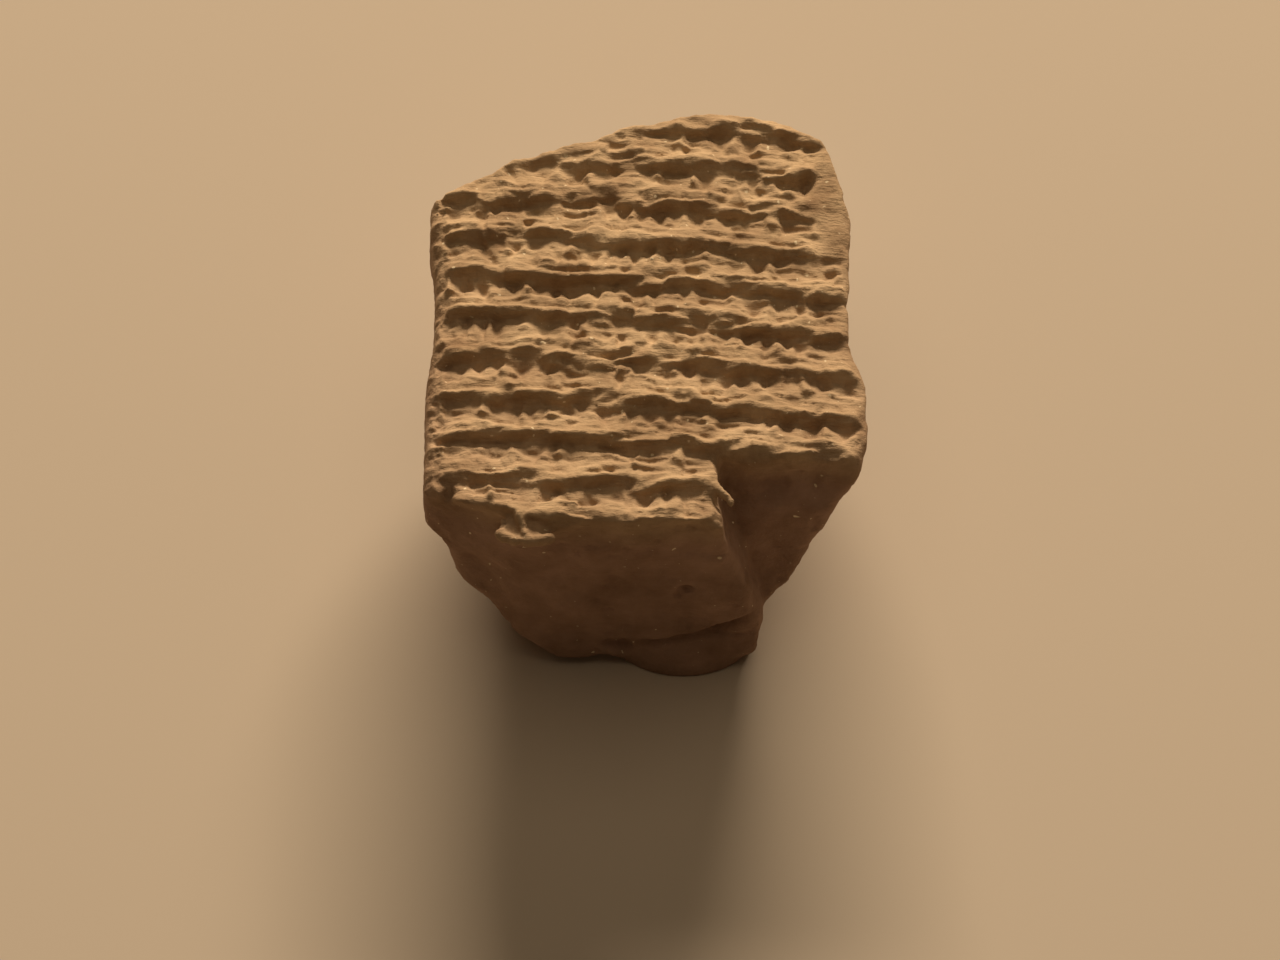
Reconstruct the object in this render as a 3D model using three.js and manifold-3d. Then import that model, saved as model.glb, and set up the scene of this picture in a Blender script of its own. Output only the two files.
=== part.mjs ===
// A broken piece of a clay tablet, lying on its back with the written face up.
// Units are millimetres, +Z is up, X runs across the face from edge to edge and +Y towards the tablet's head.
// The origin is on the surface that the piece lies on, under the middle of the written face.
// The tablet is formed and pressed with rows of stylus marks first, and then the breaks are cut through it.
import * as THREE from "three";
import { mergeVertices } from "three/addons/utils/BufferGeometryUtils.js";
import Module from "manifold-3d";

const wasm = await Module();
wasm.setup();

// The tablet
const FACE_WIDTH = 52.4; // across the written face, from side edge to side edge
const FACE_LENGTH = 60.6; // from the head break to the foot break, measured on the face
const THICKNESS = 34; // from the surface it lies on to the middle of the face
const FACE_CROWN = 1.1; // the middle of the face stands this much over its side edges
const EDGE_RADIUS = 2.4; // rounding between the face and each side edge
// Each side edge strays outwards along a stretch of its length, or inwards where out is negative
const RIGHT_SWELL = { side: 1, out: 1.6, middle: -13.5, half: 7 };
const LEFT_DENT = { side: -1, out: -0.9, middle: 2, half: 8 };
const SWELL_STEPS = 24; // sections of the block that the swell and the dent are shaped with

// The writing
const LINE_PITCH = 5.93; // from one line of writing to the next
const LINE_TILT = 4.4; // degrees that the lines fall to the right
const FIRST_LINE_INSET = 3.9; // from the head break to the middle of the first line
const SIDE_MARGIN = 0.9; // from each side edge to where the writing starts and ends
const LONG_STROKE = { length: [6.5, 11], width: [2.1, 2.7], depth: [1.15, 1.5], rise: [0.5, 1.2] };
const SHORT_STROKE = { length: [3.6, 6.8], width: [1.2, 1.7], depth: [0.4, 0.6], rise: [-1.9, -1] };
const UPRIGHT_STROKE = { length: [2.8, 4.2], width: [1.3, 1.9], depth: [0.75, 1.1], rise: [0.9, 2.3] };
const LONG_SPACING = [4, 6]; // from one long stroke's head to the next one's
const SHORT_SPACING = [5, 9.5];
const UPRIGHT_SPACING = [1.9, 5.6];
const STROKE_WOBBLE = [-4, 4]; // degrees that a stroke strays from its direction
const HEAD_INSET = 0.28; // deepest point of a stroke, as a share of its width behind the head
const WRITING_SEED = 20;

// The breaks
const LEFT_EDGE_DEPTH = 8.6; // how far down the left side edge survives
const RIGHT_EDGE_DEPTH = 1; // how far down the right side edge survives
const LEFT_BULGE = 2.2; // the broken side below it bulges this much
const RIGHT_BULGE = 1.4;
const UNDERSIDE_LEFT = 9.5; // from the middle line to the left rim of the underside
const UNDERSIDE_RIGHT = 12; // and to its right rim
const UNDERSIDE_HEAD_INSET = 11; // the underside stops this much short of the head break
const UNDERSIDE_ROUNDING = [45, 400]; // its radii across and along
const UNDERSIDE_WEAR = 0.7; // depth of the flat that the underside rests on
const HEAD_SHOULDER = 9; // the head break falls this much towards the left edge
const SHOULDER_INSET = 2.1; // where it starts, in the middle
const HEAD_CORNER = [4, 13]; // cut off the right corner of the head, across and along
const HEAD_SLOPE = [11.3, 4.9]; // a flatter cut before it
const FOOT_CORNER = [13, 5.4]; // cut off the left corner of the foot, across and along
const FOOT_LEAN = 0.5; // degrees that the foot break leans in under the face
const FOOT_STEP_WIDTH = 16.6; // width of the part of the foot that is broken further back
const FOOT_STEP_DEPTH = 9; // and how much further back
const FOOT_STEP_LEAN = 9; // degrees that it leans out towards the underside
const STEP_FLANK_LEAN = 11; // degrees that the side of the step leans to the right going down
const STEP_FLANK_TURN = 3; // degrees that it turns from the middle line, towards the right at the foot
const BREAK_ROUGHNESS = 0.75; // height of the lumps on a broken surface
const WORN_ROUGHNESS = 0.45; // and on the worn ones
const BREAK_LUMP = 5.2; // width of one such lump
const BREAK_CELL = 3.5; // grid of the broken surfaces
// The rounded lip along the foot of the break, which passes the right rim of the underside
const FOOT_LIP = { across: 9, along: 6.3, height: 8, inset: 5, past: 2.2 };
// A small ledge just under the face, which passes the inner end of the left corner's break
const FOOT_LEDGE = { across: 3.3, along: 2.7, height: 0.9, below: 1.7, past: 0.4 };
const FOOT_NOTCH = { radius: 2.3, left: 4.6 }; // small hollow in the rim of the underside

// Working values
const HALF_WIDTH = FACE_WIDTH / 2;
const HALF_LENGTH = FACE_LENGTH / 2;
const CROWN_HALF_WIDTH = HALF_WIDTH - EDGE_RADIUS;
const SHOULDER = THICKNESS - FACE_CROWN - EDGE_RADIUS;
const REACH = 1.7 * Math.max(FACE_WIDTH, FACE_LENGTH, THICKNESS); // width of a cutter that passes right through
const PROUD = 1; // a stroke's cutter stands this much over the face
const STEEPEST = 0.6; // slope that a stroke follows over the rounded edge
const DEGREE = Math.PI / 180;
const UP = new THREE.Vector3(0, 0, 1);

const clay = new THREE.MeshStandardMaterial({ color: 0xa8845a, roughness: 0.95, metalness: 0 });

function solidOf(geometry) {
  const bare = geometry.clone();
  bare.deleteAttribute("normal");
  bare.deleteAttribute("uv");
  const merged = mergeVertices(bare, 1e-4);
  return new wasm.Manifold(
    new wasm.Mesh({
      numProp: 3,
      vertProperties: merged.attributes.position.array,
      triVerts: new Uint32Array(merged.index.array),
    }),
  );
}

function geometryOf(solid) {
  const { vertProperties, triVerts } = solid.getMesh();
  const geometry = new THREE.BufferGeometry();
  geometry.setAttribute("position", new THREE.BufferAttribute(new Float32Array(vertProperties), 3));
  geometry.setIndex(new THREE.BufferAttribute(new Uint32Array(triVerts), 1));
  geometry.computeVertexNormals();
  return geometry;
}

const joined = (solids) => solids.reduce((sum, solid) => sum.add(solid));

// Returns a function that gives the same numbers between low and high on every run.
function dice(seed) {
  let state = seed;
  return ([low, high]) => {
    state = (Math.imul(state, 1664525) + 1013904223) >>> 0;
    return low + ((high - low) * state) / 2 ** 32;
  };
}

// Smooth lumps between -1 and 1, one lump for each unit of u and v.
function lumps(u, v, seed) {
  const corner = (i, j) => {
    const wave = Math.sin(i * 127.1 + j * 311.7 + seed * 74.7) * 43758.5453;
    return 2 * (wave - Math.floor(wave)) - 1;
  };
  const [i, j] = [Math.floor(u), Math.floor(v)];
  const ease = (t) => t * t * (3 - 2 * t);
  const [a, b] = [ease(u - i), ease(v - j)];
  const near = corner(i, j) * (1 - a) + corner(i + 1, j) * a;
  const far = corner(i, j + 1) * (1 - a) + corner(i + 1, j + 1) * a;
  return near * (1 - b) + far * b;
}

// Height of the unmarked face at x: a crowned middle with a rounded edge on each side.
function faceHeight(x) {
  const past = Math.abs(x) - CROWN_HALF_WIDTH;
  if (past <= 0) return THICKNESS - FACE_CROWN * (x / CROWN_HALF_WIDTH) ** 2;
  const inside = Math.max(0, 1 - (past / EDGE_RADIUS) ** 2);
  return SHOULDER + EDGE_RADIUS * Math.sqrt(inside);
}

// How far a side edge strays at y.
function strayAt({ out, middle, half }, y) {
  return out * Math.exp(-(((y - middle) / half) ** 4));
}

function tabletBlock() {
  const profile = new THREE.Shape();
  profile.moveTo(-HALF_WIDTH, 0);
  profile.lineTo(HALF_WIDTH, 0);
  profile.lineTo(HALF_WIDTH, SHOULDER);
  profile.absarc(CROWN_HALF_WIDTH, SHOULDER, EDGE_RADIUS, 0, Math.PI / 2);
  const edge = THICKNESS - FACE_CROWN;
  profile.quadraticCurveTo(0, edge + 2 * FACE_CROWN, -CROWN_HALF_WIDTH, edge);
  profile.absarc(-CROWN_HALF_WIDTH, SHOULDER, EDGE_RADIUS, Math.PI / 2, Math.PI);
  const length = 2 * FACE_LENGTH;
  const sections = { depth: length, steps: SWELL_STEPS, bevelEnabled: false, curveSegments: 5 };
  const block = new THREE.ExtrudeGeometry(profile, sections).rotateX(Math.PI / 2).translate(0, length / 2, 0);
  const places = block.attributes.position;
  for (let k = 0; k < places.count; k++) {
    const x = places.getX(k);
    const edge = x > 0 ? RIGHT_SWELL : LEFT_DENT;
    places.setX(k, x + edge.side * strayAt(edge, places.getY(k)) * (x / HALF_WIDTH) ** 2);
  }
  return solidOf(block);
}

// The half of space past a broken surface, which passes through a point and faces out. Its radii of rounding
// are across and along the surface.
function pastBreak(point, out, seed, { roughness = BREAK_ROUGHNESS, radii = [Infinity, Infinity], stray } = {}) {
  const cells = Math.round(REACH / BREAK_CELL);
  const slab = new THREE.BoxGeometry(REACH, REACH, REACH, cells, cells, 1).translate(0, 0, REACH / 2);
  const places = slab.attributes.position;
  for (let k = 0; k < places.count; k++) {
    if (places.getZ(k) > REACH / 2) continue;
    const [x, y] = [places.getX(k), places.getY(k)];
    const [u, v] = [x / BREAK_LUMP, y / BREAK_LUMP];
    const rough = roughness * (lumps(u, v, seed) + 0.5 * lumps(2 * u, 2 * v, seed + 1));
    const strays = stray ? stray(x, y) : 0;
    places.setZ(k, rough + strays - x ** 2 / (2 * radii[0]) - y ** 2 / (2 * radii[1]));
  }
  const turn = new THREE.Quaternion().setFromUnitVectors(UP, new THREE.Vector3(...out).normalize());
  return solidOf(slab.applyQuaternion(turn).translate(...point));
}

// A broken side that bulges, from where a side edge ends down to a rim of the underside. It strays with its edge,
// less and less going down.
function pastBulgingSide(edge, edgeHeight, rimX, bulge, seed) {
  const { side } = edge;
  const run = HALF_WIDTH - rimX;
  const chord = Math.hypot(run, edgeHeight);
  const out = [(side * edgeHeight) / chord, 0, -run / chord];
  const middle = [(side * (HALF_WIDTH + rimX)) / 2 + bulge * out[0], 0, edgeHeight / 2 + bulge * out[2]];
  const share = (down) => THREE.MathUtils.clamp(0.5 - (side * down) / chord, 0, 1);
  const stray = (down, y) => share(down) * strayAt(edge, y);
  return pastBreak(middle, out, seed, { radii: [chord ** 2 / (8 * bulge), Infinity], stray });
}

// A rounded lump of clay, by its middle and its half sizes.
function lump(middle, halfSizes, around = 14, tall = 9) {
  return solidOf(new THREE.SphereGeometry(1, around, tall).scale(...halfSizes).translate(...middle));
}

// One stroke of the stylus. Its head is at x, y and it runs in the direction turn, in degrees from +X.
function stroke(kind, x, y, turn, roll) {
  return { x, y, turn, length: roll(kind.length), width: roll(kind.width), depth: roll(kind.depth) };
}

// Strokes of one kind along a line of writing that is centred at height lineY. Direction is in degrees.
function strokesAlong(kind, lineY, spacing, direction, seed) {
  const roll = dice(seed);
  const found = [];
  const end = HALF_WIDTH - SIDE_MARGIN;
  const fall = Math.tan(LINE_TILT * DEGREE);
  for (let x = -end + roll([0, spacing[0]]); x < end; x += roll(spacing)) {
    const y = lineY - x * fall + roll(kind.rise);
    const made = stroke(kind, x, y, direction - LINE_TILT + roll(STROKE_WOBBLE), roll);
    const past = x + made.length * Math.cos(made.turn * DEGREE) - end;
    if (past > 0) made.length = Math.max(made.width, made.length - past);
    found.push(made);
  }
  return found;
}

// A long stroke's upper edge runs along its line, so that its middle rises to the right.
function levelled(long) {
  return { ...long, turn: long.turn + Math.atan(long.width / 2 / long.length) / DEGREE };
}

function writing() {
  const strokes = [];
  const lines = Math.floor((FACE_LENGTH + LINE_PITCH) / LINE_PITCH);
  for (let line = 0; line < lines; line++) {
    const lineY = HALF_LENGTH - FIRST_LINE_INSET - line * LINE_PITCH;
    const seed = WRITING_SEED * (line + 1);
    strokes.push(
      ...strokesAlong(LONG_STROKE, lineY, LONG_SPACING, 0, seed + 1).map(levelled),
      ...strokesAlong(SHORT_STROKE, lineY, SHORT_SPACING, 0, seed + 2),
      ...strokesAlong(UPRIGHT_STROKE, lineY, UPRIGHT_SPACING, -90, seed + 3),
    );
  }
  return strokes;
}

// The mark that a stroke leaves: three walls that run down from an open triangle to one deepest point.
function markOf({ x, y, turn, length, width, depth }) {
  const deepest = [HEAD_INSET * width, 0];
  const rim = [[0, width / 2], [0, -width / 2], [length, 0]];
  const spread = (depth + PROUD) / depth;
  const slope = THREE.MathUtils.clamp((faceHeight(x + 0.1) - faceHeight(x - 0.1)) / 0.2, -STEEPEST, STEEPEST);
  const place = ([along, across], height) => {
    const [c, s] = [Math.cos(turn * DEGREE), Math.sin(turn * DEGREE)];
    const px = x + along * c - across * s;
    const py = y + along * s + across * c;
    return [px, py, faceHeight(x) + slope * (px - x) + height];
  };
  const top = rim.map((p) => place(p.map((value, k) => deepest[k] + spread * (value - deepest[k])), PROUD));
  const corners = [...top, place(deepest, -depth)];
  return new wasm.Manifold(
    new wasm.Mesh({
      numProp: 3,
      vertProperties: new Float32Array(corners.flat()),
      triVerts: new Uint32Array([0, 1, 2, 1, 0, 3, 2, 1, 3, 0, 2, 3]),
    }),
  );
}

function headBreaks() {
  const lean = -UNDERSIDE_HEAD_INSET / THICKNESS;
  const [across, along] = HEAD_CORNER;
  const corner = [HALF_WIDTH - across, HALF_LENGTH, THICKNESS];
  const shoulder = [0, HALF_LENGTH - SHOULDER_INSET, THICKNESS];
  const [run, fall] = HEAD_SLOPE;
  const slope = [HALF_WIDTH - run, HALF_LENGTH, THICKNESS];
  return [
    pastBreak([0, HALF_LENGTH, THICKNESS], [0, 1, lean], 3),
    pastBreak(shoulder, [-HEAD_SHOULDER / HALF_WIDTH, 1, lean], 4),
    pastBreak(corner, [along, across, lean * across], 5, { roughness: WORN_ROUGHNESS }),
    pastBreak(slope, [fall, run, lean * run], 13, { roughness: WORN_ROUGHNESS }),
  ];
}

function underBreaks() {
  const worn = { roughness: WORN_ROUGHNESS, radii: UNDERSIDE_ROUNDING };
  return [
    pastBulgingSide(LEFT_DENT, THICKNESS - LEFT_EDGE_DEPTH, UNDERSIDE_LEFT, LEFT_BULGE, 6),
    pastBulgingSide(RIGHT_SWELL, THICKNESS - RIGHT_EDGE_DEPTH, UNDERSIDE_RIGHT, RIGHT_BULGE, 7),
    pastBreak([0, 0, -UNDERSIDE_WEAR], [0, 0, -1], 12, worn),
  ];
}

function footBreaks() {
  const slope = (degrees) => Math.tan(degrees * DEGREE);
  const stepX = HALF_WIDTH - FOOT_STEP_WIDTH;
  const stepY = -HALF_LENGTH + FOOT_STEP_DEPTH;
  const flankOut = [1, slope(STEP_FLANK_TURN), slope(STEP_FLANK_LEAN)];
  const flank = pastBreak([stepX, stepY, THICKNESS], flankOut, 8, { roughness: WORN_ROUGHNESS });
  const step = pastBreak([0, stepY, THICKNESS], [0, -1, slope(FOOT_STEP_LEAN)], 9);
  const [across, along] = FOOT_CORNER;
  const corner = [-HALF_WIDTH, -HALF_LENGTH + along, THICKNESS];
  return [
    pastBreak([0, -HALF_LENGTH, THICKNESS], [0, -1, -slope(FOOT_LEAN)], 10, { roughness: WORN_ROUGHNESS }),
    pastBreak(corner, [-along, -across, -across * slope(FOOT_LEAN)], 11),
    flank.intersect(step),
  ];
}

function footLip() {
  const { across, along, height, inset, past } = FOOT_LIP;
  return lump([UNDERSIDE_RIGHT + past - across, -HALF_LENGTH + inset, 0], [across, along, height]);
}

function footLedge() {
  const { across, along, height, below, past } = FOOT_LEDGE;
  const left = HALF_WIDTH - FOOT_CORNER[0] + past;
  return lump([-left, -HALF_LENGTH, THICKNESS - below], [across, along, height], 8, 5);
}

function footNotch() {
  const { radius, left } = FOOT_NOTCH;
  return lump([-left, -HALF_LENGTH, 0], [radius, radius, radius], 8, 5);
}

function belowSurface() {
  return solidOf(new THREE.BoxGeometry(REACH, REACH, REACH).translate(0, 0, -REACH / 2));
}

function fragment() {
  const marked = tabletBlock().subtract(joined(writing().map(markOf)));
  const broken = marked.subtract(joined([...headBreaks(), ...underBreaks(), ...footBreaks()]));
  return broken.add(footLip()).add(footLedge()).subtract(footNotch()).subtract(belowSurface());
}

const fragmentMesh = new THREE.Mesh(geometryOf(fragment()), clay);
fragmentMesh.name = "tablet_fragment";

const tablet = new THREE.Group();
tablet.add(fragmentMesh);

export default tablet;
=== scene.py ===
import math

import bpy
import numpy as np
from mathutils import Matrix, Vector


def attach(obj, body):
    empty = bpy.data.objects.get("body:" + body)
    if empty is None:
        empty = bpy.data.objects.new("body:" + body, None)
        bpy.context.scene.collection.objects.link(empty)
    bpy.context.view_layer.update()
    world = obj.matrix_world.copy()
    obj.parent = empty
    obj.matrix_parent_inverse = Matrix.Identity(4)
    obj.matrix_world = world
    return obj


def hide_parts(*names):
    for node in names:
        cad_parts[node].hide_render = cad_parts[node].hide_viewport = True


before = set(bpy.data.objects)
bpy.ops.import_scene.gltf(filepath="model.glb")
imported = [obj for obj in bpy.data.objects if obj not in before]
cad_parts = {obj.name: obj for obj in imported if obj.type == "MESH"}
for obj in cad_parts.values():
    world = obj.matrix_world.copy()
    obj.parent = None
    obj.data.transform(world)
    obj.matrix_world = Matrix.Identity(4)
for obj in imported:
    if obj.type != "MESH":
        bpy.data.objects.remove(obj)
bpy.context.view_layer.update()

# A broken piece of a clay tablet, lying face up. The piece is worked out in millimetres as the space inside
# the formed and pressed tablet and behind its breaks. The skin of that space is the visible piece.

# The tablet, in millimetres, as the solid has it
FACE_WIDTH = 52.4
FACE_LENGTH = 60.6
THICKNESS = 34.0
FACE_CROWN = 1.1
EDGE_RADIUS = 2.4
RIGHT_SWELL = dict(side=1, out=1.6, middle=-13.5, half=7)
LEFT_DENT = dict(side=-1, out=-0.9, middle=2, half=8)
LINE_PITCH = 5.93
LINE_TILT = 4.4
FIRST_LINE_INSET = 3.9
SIDE_MARGIN = 0.9
STROKE_WOBBLE = (-4, 4)
LONG_STROKE = dict(
    length=(6.5, 11), width=(2.1, 2.7), depth=(1.15, 1.5), rise=(0.5, 1.2),
    spacing=(4, 6), turn=0, wobble=STROKE_WOBBLE, seed=1,
)
SHORT_STROKE = dict(
    length=(3.6, 6.8), width=(1.2, 1.7), depth=(0.4, 0.6), rise=(-1.9, -1),
    spacing=(5, 9.5), turn=0, wobble=STROKE_WOBBLE, seed=2,
)
UPRIGHT_STROKE = dict(
    length=(2.8, 4.2), width=(1.3, 1.9), depth=(0.75, 1.1), rise=(0.9, 2.3),
    spacing=(1.9, 5.6), turn=-90, wobble=STROKE_WOBBLE, seed=3,
)
HEAD_INSET = 0.28
WRITING_SEED = 20
LEFT_EDGE_DEPTH = 8.6
RIGHT_EDGE_DEPTH = 1
LEFT_BULGE = 2.2
RIGHT_BULGE = 1.4
UNDERSIDE_LEFT = 9.5
UNDERSIDE_RIGHT = 12
UNDERSIDE_HEAD_INSET = 11
UNDERSIDE_ROUNDING = (45, 400)
UNDERSIDE_WEAR = 0.7
HEAD_SHOULDER = 9
SHOULDER_INSET = 2.1
HEAD_CORNER = (4, 13)
HEAD_SLOPE = (11.3, 4.9)
FOOT_CORNER = (13, 5.4)
FOOT_LEAN = 0.5
FOOT_STEP_WIDTH = 16.6
FOOT_STEP_DEPTH = 9
FOOT_STEP_LEAN = 9
STEP_FLANK_LEAN = 11
STEP_FLANK_TURN = 3
BREAK_ROUGHNESS = 0.75
WORN_ROUGHNESS = 0.45
BREAK_LUMP = 5.2
BREAK_CELL = 3.5
FOOT_LIP = dict(across=9, along=6.3, height=8, inset=5, past=2.2)
FOOT_LEDGE = dict(across=3.3, along=2.7, height=0.9, below=1.7, past=0.4)
FOOT_NOTCH = dict(radius=2.3, left=4.6)

# The writing as it shows. The solid's long strokes become furrows, and smaller strokes fill each line.
FURROW_WALL = 0.7  # run of the steep upper wall
FURROW_FLOOR = 0.8  # from the upper edge to where the floor starts to climb
FURROW_REACH = 1.5  # how far the floor climbs, as a share of the stroke's width
FURROW_SHARE = 0.66  # depth that worn clay keeps of the solid's stroke
FURROW_TOP = 0.42  # how far its upper edge is over its line, as a share of the stroke's width
FURROW_HEAD = 0.8  # run of the slope at its start
FURROW_TAIL = 0.45  # run of the slope at its end, as a share of the stroke's length
UPRIGHT_SHARE = 0.6
SIGN_WIDTH = (3.4, 7.0)
NARROWEST_SIGN = 1.5
LEVEL_SIGNS, UPRIGHT_SIGNS, SLANTING_SIGNS = 0.36, 0.8, 0.93  # shares up to each kind; the rest is bare
SIGN_SEED = 5
LEVEL = dict(
    count=(1.6, 3.4), turn=(-1, 6), top=0.9, step=1.55, stray=(-0.15, 0.15),
    longer=(0.3, 1.6), start=(0, 0.5), width=(1.5, 2.3), depth=(0.55, 1.0),
)
UPRIGHT = dict(
    gap=(1.9, 3.2), turn=(-9, 9), rise=(0.5, 1.8), own_rise=(-0.6, 0.6), own_turn=(-7, 7),
    length=(2.4, 5.2), share=(0.85, 1.5), depth=(0.5, 1.15),
)
SLANT = dict(
    turns=(-50, -130), own_turn=(-15, 15), head=(0.2, 0.8), rise=(-0.6, 1.2),
    length=(2.8, 4.2), width=(2.2, 3.2), depth=(0.6, 1.1),
)
CREASE = dict(
    length=(3.0, 7.5), width=(1.0, 1.6), depth=(0.25, 0.5), rise=(-3.1, -2.2),
    spacing=(2.8, 7.0), turn=2, wobble=(-7, 7), seed=4,
)
RIDGE = dict(
    length=(3.8, 9.0), width=(1.4, 2.1), depth=(0.5, 0.95), rise=(1.6, 2.4),
    spacing=(2.8, 6.0), turn=1.5, wobble=STROKE_WOBBLE, seed=7,
)
UPPER_RIDGE = dict(
    length=(3.2, 7.5), width=(1.4, 2.1), depth=(0.3, 0.55), rise=(3.1, 3.9),
    spacing=(3.5, 8.0), turn=1.5, wobble=STROKE_WOBBLE, seed=8,
)
RIDGE_ENDS = dict(head=0.9, tail=0.4)  # slopes, as shares of the width and of the length
RIDGE_HALF = dict(narrow=0.55, swell=0.45)  # of half the width, at the ends and what the middle has more
RIDGE_FULLNESS = 0.6
SPUR = dict(
    length=(2.8, 4.4), width=(1.8, 3.0), depth=(0.5, 0.95), rise=(-1.5, -0.5),
    spacing=(4, 10), turn=90, wobble=(-25, 30), seed=9,
)
STEEP_SIDE = 0.42  # how much steeper one side of a small mark is
MARK_ROUNDING = 0.15
DEEPEST_MARK, HIGHEST_MARK = -2.0, 0.72
BLUR = 0.16

# Dice and lumps, with the solid's own numbers
DICE_TIMES, DICE_PLUS, DICE_SIDES = 1664525, 1013904223, 2**32
SCATTER = dict(u=127.1, v=311.7, seed=74.7, times=43758.5453)
FINER_GRIT = dict(turn=0.6, first_turn=0.3, across=31.7, along=17.3, size=2.1, height=0.55)

# Waves and grit: sizes along X and Y in millimetres, heights, and the seed of their lumps
LINE_BENDS = (
    dict(across=4.3, along=3.1, height=0.45, seed=61),
    dict(across=1.9, along=1.9, height=0.26, seed=62),
)
MOST_BEND = 2.5  # room round a stroke for what the bends move
DEPTH_CHANGES = dict(start=5.3, across=3.7, along=3.1, share=0.45, seed=63)
LEVEL_DRAG = dict(turn=-LINE_TILT, length=3.0, width=0.5, height=0.13, seed=91)
CROSS_DRAG = dict(length=3.2, width=0.36, height=0.1)
CROSS_DRAGS = ((62, 93), (-72, 95), (96, 97))  # turn and seed of the dragged clay that crosses the lines
DRAG_PATCHES = dict(across=3.1, along=2.6, sharpness=2.2, rarity=0.7)
FINER_DRAG = dict(along=1.7, across=1.9, share=0.4, seed=40)
FACE_GRIT = dict(size=2.2, height=0.17, seed=51, octaves=5)
FINE_FACE_GRIT = dict(size=0.75, height=0.06, seed=53, octaves=2)
SIDE_GRIT = dict(size=1.8, height=0.14, seed=71, octaves=4)
CHIP_GRIT = dict(size=1.3, height=0.22, seed=81, octaves=4)
LEDGE_GRIT_SHARE = 0.6
BREAK_GRIT = dict(size=2.6, height=0.2, octaves=4)
GRIT_SEED, PIT_SEED = 20, 30  # added to a break's own seed
PIT = dict(size=1.9, rarity=0.5, depth=0.9)  # small pits scattered over the breaks
# The bare clay high on the right edge, then bare strips along the sides and the head
BLANK = dict(x=20.6, y=7.5, fade=1.6, stray=0.9, size=3.3, share=0.9, seed=67)
BARE_SIDE, SIDE_FADE = 0.5, 1.3
BARE_HEAD, HEAD_FADE = 0.2, 1.4
CRUMBLED_EDGE = dict(width=3.4, depth=0.7)  # the left edge has crumbled away a little
CRUMBS = dict(size=1.5, height=0.9, seed=59, octaves=4)

# The breaks as they show
BREAK_SEEDS = dict(
    head=3, shoulder=4, head_corner=5, head_slope=13, left=6, right=7, underside=12,
    flank=8, step=9, foot=10, foot_corner=11,
)
# The groove over the foot's lip
LIP_GROOVE = dict(left=-1.5, right=14.5, fade=3, half=0.75, below=1.8, depth=1.4)
GROOVE_PATH = dict(height=5.7, level_to=1, climb=0.041, stray=0.7, size=2.3, seed=83)
FOOT_PITS = (
    ((5.4, -30.6, 18.6), (1.1, 1.1, 0.8)),
    ((4.4, -30.7, 17.2), (0.7, 1.0, 1.0)),
    ((-3.1, -31.0, 4.8), (2.3, 2.4, 1.6)),
)
STEP_HOOK = ((6.4, -24.5, 33.8), (8.9, -25.2, 33.7), (10.1, -26.5, 33.3), (10.7, -27.3, 33.1))
LEDGE_LINK = ((-14.4, -29.4, 33.6), (-14.2, -31.0, 33.4), (-13.6, -32.4, 33.2))
LEDGE_RIM = ((-16.6, -31.6, 32.9), (-15.0, -32.3, 33.1), (-12.4, -32.5, 33.1), (-10.7, -32.1, 32.9))
THIN_ROLL = dict(start=0.65, end=0.35)
CHIPPED_CORNER = dict(middle=(10.4, -31.2, 34.4), half_sizes=(2.2, 2.9, 1.9))
FLANK_HOLLOW = dict(height=29, half=8, depth=1.1)  # where the step's flank curves in
STEP_HOLLOW = dict(height=34, half=9, depth=0.95)  # where the step's back curves in
STEEPEST = 3  # of the face, where its height is turned into a distance

# How widely one surface runs into the next
SIDE_ROUNDING, HEAD_ROUNDING, BODY_ROUNDING, REST_ROUNDING = 0.3, 0.5, 0.6, 0.15
STEP_ROUNDING, LIP_ROUNDING, LEDGE_ROUNDING, SMALL_ROUNDING = 0.8, 0.8, 0.7, 0.5
FOOT_ROUNDING = dict(face=0.5, more=1.3, start=3, run=5)  # more of it from this far below the face

HALF_WIDTH = FACE_WIDTH / 2
HALF_LENGTH = FACE_LENGTH / 2
CROWN_HALF_WIDTH = HALF_WIDTH - EDGE_RADIUS
SHOULDER = THICKNESS - FACE_CROWN - EDGE_RADIUS
REACH_SHARE = 1.7
REACH = REACH_SHARE * max(FACE_WIDTH, FACE_LENGTH, THICKNESS)  # side of the map of a break
FALL = math.tan(math.radians(LINE_TILT))
STRAIGHT = (math.inf, math.inf)

CELL = 0.21  # skin cells across the face
MAP_STEP = 0.11  # cells of the map of the pressed marks
TABLE_STEP = 0.25  # cells of the map of a break
BREAK_BAND = 3  # the roughness of a break is worked out this near to it
ROOM = dict(left=1.5, right=2.5, ends=3, top=1.5)  # of the grid round the face
FACE_ZONE = 4.5  # fine cells down to this far below the face
MOST_TRIANGLES = 190_000
MM = 0.001
SHADED_BODY_TOP, FACE_FOOT = 0.027, 0.0335  # in metres, where the body's colour, a little redder and darkened as painted shade, gives way to the face's
FACE_TILT = 0.04  # that border lies lower at the head
PATCH_EDGES = (0.3, 0.7)  # where a patch's dark tone ends and its light tone starts


def dice(seed):
    """Dice that roll the same numbers each time, within the span asked for."""
    state = seed

    def roll(span):
        nonlocal state
        state = (state * DICE_TIMES + DICE_PLUS) % DICE_SIDES
        return span[0] + (span[1] - span[0]) * state / DICE_SIDES

    return roll


def lumps(u, v, seed):
    """Smooth lumps between -1 and 1, one lump for each unit of u and v."""

    def corner(i, j):
        wave = np.sin(i * SCATTER["u"] + j * SCATTER["v"] + seed * SCATTER["seed"]) * SCATTER["times"]
        return 2 * (wave - np.floor(wave)) - 1

    i, j = np.floor(u), np.floor(v)
    a, b = ((t * t * (3 - 2 * t)) for t in (u - i, v - j))
    near = corner(i, j) * (1 - a) + corner(i + 1, j) * a
    far = corner(i, j + 1) * (1 - a) + corner(i + 1, j + 1) * a
    return near * (1 - b) + far * b


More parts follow.
